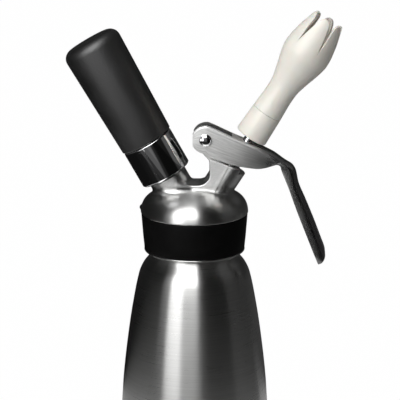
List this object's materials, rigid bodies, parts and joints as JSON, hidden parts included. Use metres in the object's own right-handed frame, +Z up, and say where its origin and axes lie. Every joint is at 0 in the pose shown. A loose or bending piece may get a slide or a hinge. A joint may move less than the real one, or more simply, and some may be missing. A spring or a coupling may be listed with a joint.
{
  "type": "whipped cream dispenser",
  "caption": "Steel cream whipper: screw-on head, leaning charger holder with a soft sleeve, pressed lever over a spring valve, and a white tulip tip.",
  "frame": {"origin": "centre of the bottle's flat base", "axes": "+Z up along the bottle, +X towards the lever and the tip, +Y away from the viewer"},
  "size_m": [0.1461, 0.0826, 0.2824],
  "materials": {
    "brushed_steel": "fine brushed stainless steel",
    "cast_steel": "satin, bead-blasted on the lug",
    "chrome": "mirror polish",
    "black_rubber": "matte, soft to the touch",
    "ivory_plastic": "satin off-white",
    "white_nylon": "plain moulded",
    "seal_rubber": "smooth silicone",
    "plated_steel": "bright plated"
  },
  "bodies": {
    "bottle": {"bottle": "brushed_steel"},
    "gasket": {"head_gasket": "seal_rubber"},
    "head": {"head_casting": "cast_steel", "grip_band": "black_rubber", "charger_adapter": "plated_steel", "piercing_pin": "plated_steel", "charger_seal": "seal_rubber", "check_valve": "seal_rubber", "gas_diffuser": "plated_steel", "valve_guide": "white_nylon", "guide_o_ring": "seal_rubber", "valve_spring": "plated_steel", "pivot_pin": "chrome", "pivot_clip": "plated_steel"},
    "charger": {"cartridge": "plated_steel"},
    "holder": {"holder_tube": "plated_steel", "holder_ring": "chrome", "holder_sleeve": "black_rubber"},
    "lever": {"lever": "brushed_steel"},
    "valve": {"valve_stem": "chrome", "valve_seal": "seal_rubber", "seal_nut": "plated_steel"},
    "washer": {"tip_washer": "white_nylon"},
    "tip": {"tip_base": "ivory_plastic", "nozzle_o_ring": "seal_rubber", "tulip_nozzle": "ivory_plastic"}
  },
  "joints": [
    {"name": "head_rise", "type": "slide", "parent": "bottle", "child": "gasket", "axis": [0, 0, 1], "range_m": [0, 0.008]},
    {"name": "head_turn", "type": "hinge", "parent": "gasket", "child": "head", "pos_m": [0, 0, 0.16], "axis": [0, 0, 1], "range_deg": [0, 721]},
    {"name": "charger_rise", "type": "slide", "parent": "head", "child": "charger", "axis": [-0.4924, 0, 0.8704], "range_m": [0, 0.005]},
    {"name": "charger_turn", "type": "hinge", "parent": "charger", "child": "holder", "pos_m": [-0.0059, 0, 0.1765], "axis": [-0.4924, 0, 0.8704], "range_deg": [0, 721]},
    {"name": "lever_press", "type": "hinge", "parent": "head", "child": "lever", "pos_m": [0.00625, 0, 0.2134], "axis": [0, 1, 0], "range_deg": [0, 8], "stiffness_Nm_per_rad": 2, "springref_deg": -5.73},
    {"name": "valve_press", "type": "slide", "parent": "head", "child": "valve", "axis": [-0.5373, 0, -0.8434], "range_m": [0, 0.0028], "deforming": ["valve_spring"]},
    {"name": "tip_rise", "type": "slide", "parent": "valve", "child": "washer", "axis": [0.5373, 0, 0.8434], "range_m": [0, 0.005]},
    {"name": "tip_turn", "type": "hinge", "parent": "washer", "child": "tip", "pos_m": [0.0062, 0, 0.1765], "axis": [0.5373, 0, 0.8434], "range_deg": [0, 901]}
  ],
  "couplings": [
    {"joint": "head_turn", "follows": "head_rise", "rad_per_m": 1570.8},
    {"joint": "charger_turn", "follows": "charger_rise", "rad_per_m": 2513.3},
    {"joint": "tip_turn", "follows": "tip_rise", "rad_per_m": 3141.6},
    {"joint": "valve_press", "follows": "lever_press", "m_per_rad": 0.01975}
  ]
}
